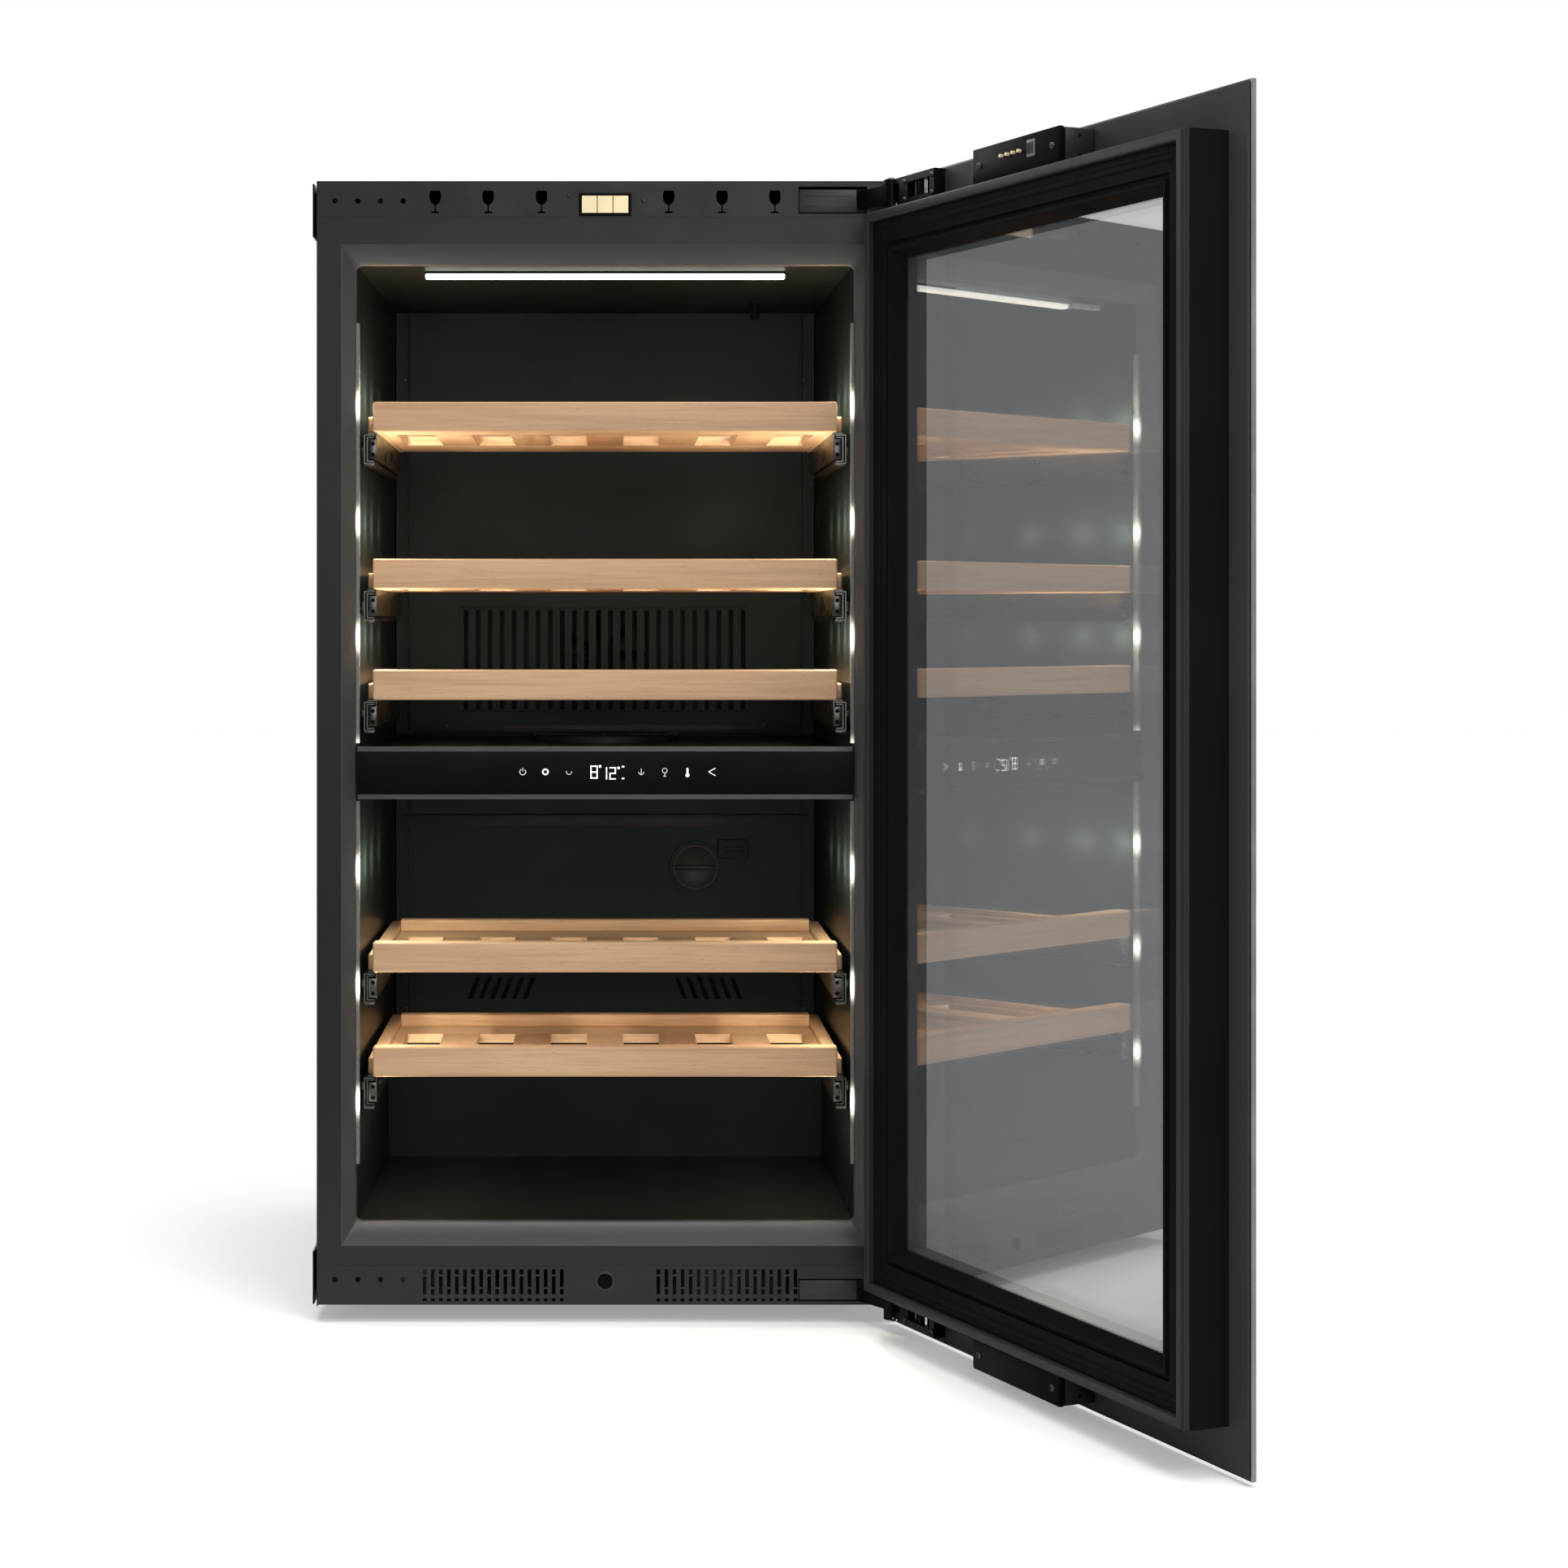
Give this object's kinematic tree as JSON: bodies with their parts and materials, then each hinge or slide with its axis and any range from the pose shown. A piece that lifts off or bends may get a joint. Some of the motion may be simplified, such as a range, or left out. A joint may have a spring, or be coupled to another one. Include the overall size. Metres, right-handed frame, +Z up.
{
  "type": "wine cooler",
  "caption": "Built-in wine cooler with zoned compartments, sliding beech shelves, a touch control bar and a framed glass door that stands open.",
  "frame": {"origin": "on the floor, under the middle of the cabinet's casing", "axes": "-Y out of the front, +X to the right seen from the front, +Z up; the door stands open at rest"},
  "size_m": [0.7416, 1.0595, 1.033],
  "materials": {
    "casing_paint": "satin powder coat",
    "galvanised": "galvanised sheet",
    "foam": "polyurethane foam, closed cell",
    "liner_plastic": "fine-grained plastic",
    "frame_plastic": "satin plastic",
    "trim_plastic": "satin plastic",
    "black_plastic": "smooth black plastic",
    "contact_gold": "gold-plated",
    "runner_plastic": "moulded plastic",
    "bracket_steel": "black zinc",
    "filter_plastic": "moulded plastic over charcoal",
    "lamp_diffuser": "frosted diffuser",
    "beech": "clear-lacquered beech",
    "slide_steel": "zinc-plated steel",
    "compressor_paint": "black enamel",
    "fin_aluminium": "mill finish",
    "fan_plastic": "moulded plastic",
    "hinge_steel": "black coated steel",
    "pin_steel": "polished steel",
    "door_glass": "tinted safety glass with a dark printed border",
    "clear_glass": "coated clear glass",
    "door_plastic": "satin black plastic",
    "edge_aluminium": "dark anodised",
    "trim_aluminium": "brushed and anodised",
    "gasket_rubber": "soft black profile",
    "console_glass": "black glass touch panel",
    "circuit": "circuit board and display"
  },
  "bodies": {
    "cabinet": {"outer_casing": "casing_paint", "base_plate": "galvanised", "back_panel": "galvanised", "insulation": "foam", "inner_liner": "liner_plastic", "front_frame": "frame_plastic", "top_trim": "trim_plastic", "bottom_trim": "trim_plastic", "contact_block": "black_plastic", "contact_pads": "contact_gold", "glide_runners": "runner_plastic", "niche_brackets": "bracket_steel", "rear_cover_upper": "liner_plastic", "rear_cover_lower": "liner_plastic", "charcoal_filter": "filter_plastic", "temperature_sensors": "black_plastic", "ceiling_light": "lamp_diffuser", "side_lights": "lamp_diffuser", "zone_divider": "foam", "console_housing": "black_plastic", "console_glass": "console_glass", "display_module": "circuit", "console_trims": "trim_aluminium", "slide_channels": "slide_steel", "compressor": "compressor_paint", "condenser": "fin_aluminium", "fan_housings": "fan_plastic", "evaporators": "fin_aluminium", "control_box": "black_plastic", "power_inlet": "black_plastic", "hinge_arms": "hinge_steel", "hinge_pins": "pin_steel"},
    "door": {"door_glass": "door_glass", "door_edge_trims": "edge_aluminium", "door_frame": "door_plastic", "door_inner_pane": "clear_glass", "glass_spacer": "door_plastic", "door_gasket": "gasket_rubber", "door_modules": "black_plastic", "hinge_leaves": "hinge_steel"},
    "contact_pins": {"contact_pins": "contact_gold"},
    "door_pusher": {"door_pusher": "black_plastic"},
    "fan_rotor_condenser": {"fan_rotor_condenser": "fan_plastic"},
    "fan_rotor_upper": {"fan_rotor_upper": "fan_plastic"},
    "fan_rotor_lower": {"fan_rotor_lower": "fan_plastic"},
    "shelf_1": {"shelf_1": "beech", "slide_carrier_1": "slide_steel"},
    "slide_middle_1": {"slide_middle_1": "slide_steel"},
    "shelf_2": {"shelf_2": "beech", "slide_carrier_2": "slide_steel"},
    "slide_middle_2": {"slide_middle_2": "slide_steel"},
    "shelf_3": {"shelf_3": "beech", "slide_carrier_3": "slide_steel"},
    "slide_middle_3": {"slide_middle_3": "slide_steel"},
    "shelf_4": {"shelf_4": "beech", "slide_carrier_4": "slide_steel"},
    "slide_middle_4": {"slide_middle_4": "slide_steel"},
    "shelf_5": {"shelf_5": "beech", "slide_carrier_5": "slide_steel"},
    "slide_middle_5": {"slide_middle_5": "slide_steel"}
  },
  "joints": [
    {"name": "door_swing", "type": "hinge", "parent": "cabinet", "child": "door", "pos_m": [0.256, -0.302, 0.5], "axis": [0, 0, 1], "range_deg": [-112.7, 2.3]},
    {"name": "contact_pins_press", "type": "slide", "parent": "door", "child": "contact_pins", "axis": [0.9225, 0.3859, 0], "range_m": [0, 0.0015], "stiffness_N_per_m": 300},
    {"name": "pusher_slide", "type": "slide", "parent": "cabinet", "child": "door_pusher", "axis": [0, -1, 0], "range_m": [0, 0.02]},
    {"name": "shelf_1_slide", "type": "slide", "parent": "cabinet", "child": "shelf_1", "axis": [0, -1, 0], "range_m": [0, 0.28]},
    {"name": "slide_middle_1_follow", "type": "slide", "parent": "cabinet", "child": "slide_middle_1", "axis": [0, -1, 0], "range_m": [0, 0.14]},
    {"name": "shelf_2_slide", "type": "slide", "parent": "cabinet", "child": "shelf_2", "axis": [0, -1, 0], "range_m": [0, 0.28]},
    {"name": "slide_middle_2_follow", "type": "slide", "parent": "cabinet", "child": "slide_middle_2", "axis": [0, -1, 0], "range_m": [0, 0.14]},
    {"name": "shelf_3_slide", "type": "slide", "parent": "cabinet", "child": "shelf_3", "axis": [0, -1, 0], "range_m": [0, 0.28]},
    {"name": "slide_middle_3_follow", "type": "slide", "parent": "cabinet", "child": "slide_middle_3", "axis": [0, -1, 0], "range_m": [0, 0.14]},
    {"name": "shelf_4_slide", "type": "slide", "parent": "cabinet", "child": "shelf_4", "axis": [0, -1, 0], "range_m": [0, 0.28]},
    {"name": "slide_middle_4_follow", "type": "slide", "parent": "cabinet", "child": "slide_middle_4", "axis": [0, -1, 0], "range_m": [0, 0.14]},
    {"name": "shelf_5_slide", "type": "slide", "parent": "cabinet", "child": "shelf_5", "axis": [0, -1, 0], "range_m": [0, 0.28]},
    {"name": "slide_middle_5_follow", "type": "slide", "parent": "cabinet", "child": "slide_middle_5", "axis": [0, -1, 0], "range_m": [0, 0.14]},
    {"name": "fan_condenser_spin", "type": "hinge", "parent": "cabinet", "child": "fan_rotor_condenser", "pos_m": [0.14, 0.175, 0.089], "axis": [1, 0, 0], "continuous": true},
    {"name": "fan_upper_spin", "type": "hinge", "parent": "cabinet", "child": "fan_rotor_upper", "pos_m": [0, 0.159, 0.6], "axis": [0, 1, 0], "continuous": true},
    {"name": "fan_lower_spin", "type": "hinge", "parent": "cabinet", "child": "fan_rotor_lower", "pos_m": [-0.095, 0.159, 0.335], "axis": [0, 1, 0], "continuous": true}
  ],
  "couplings": [
    {"joint": "slide_middle_1_follow", "follows": "shelf_1_slide", "ratio": 0.5},
    {"joint": "slide_middle_2_follow", "follows": "shelf_2_slide", "ratio": 0.5},
    {"joint": "slide_middle_3_follow", "follows": "shelf_3_slide", "ratio": 0.5},
    {"joint": "slide_middle_4_follow", "follows": "shelf_4_slide", "ratio": 0.5},
    {"joint": "slide_middle_5_follow", "follows": "shelf_5_slide", "ratio": 0.5}
  ]
}
